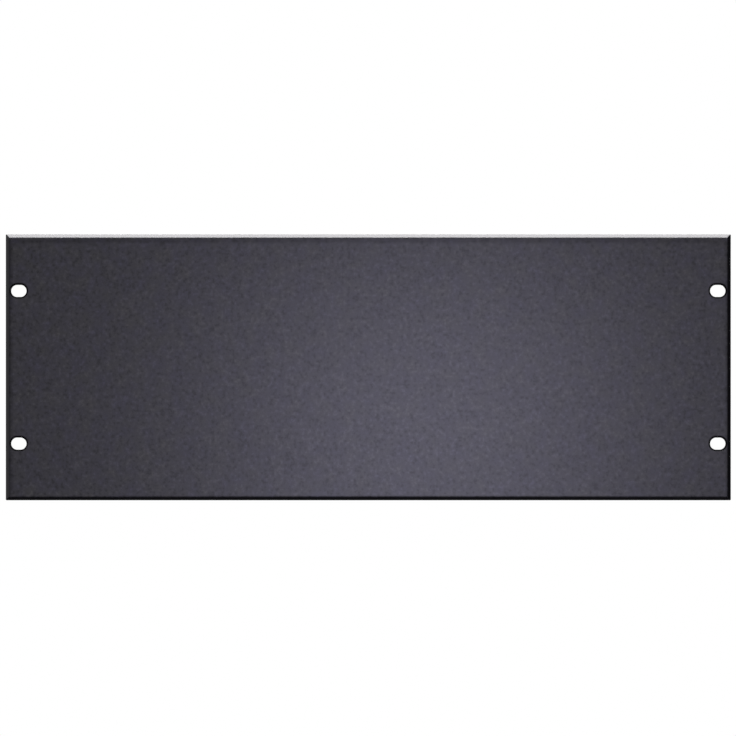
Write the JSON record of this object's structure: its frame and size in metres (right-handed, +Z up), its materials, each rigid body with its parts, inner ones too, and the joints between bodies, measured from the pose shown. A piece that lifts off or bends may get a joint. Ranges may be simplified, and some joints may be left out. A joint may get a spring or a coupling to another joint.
{
  "type": "rack blanking panel",
  "caption": "Flat bevelled plate that closes an unused space at the front of an equipment rack, with an obround screw slot near each corner.",
  "frame": {"origin": "centre of the slot pattern, on the flat back face that seats on the rack rails", "axes": "+X to the right seen from the front, along the panel's width; +Y backwards into the rack, out of the back face; +Z up. The front faces -Y"},
  "size_m": [0.4826, 0.0032, 0.177],
  "materials": {
    "powder_coat": "fine textured black powder coat, satin"
  },
  "bodies": {
    "root": {"panel": "powder_coat"}
  },
  "joints": []
}
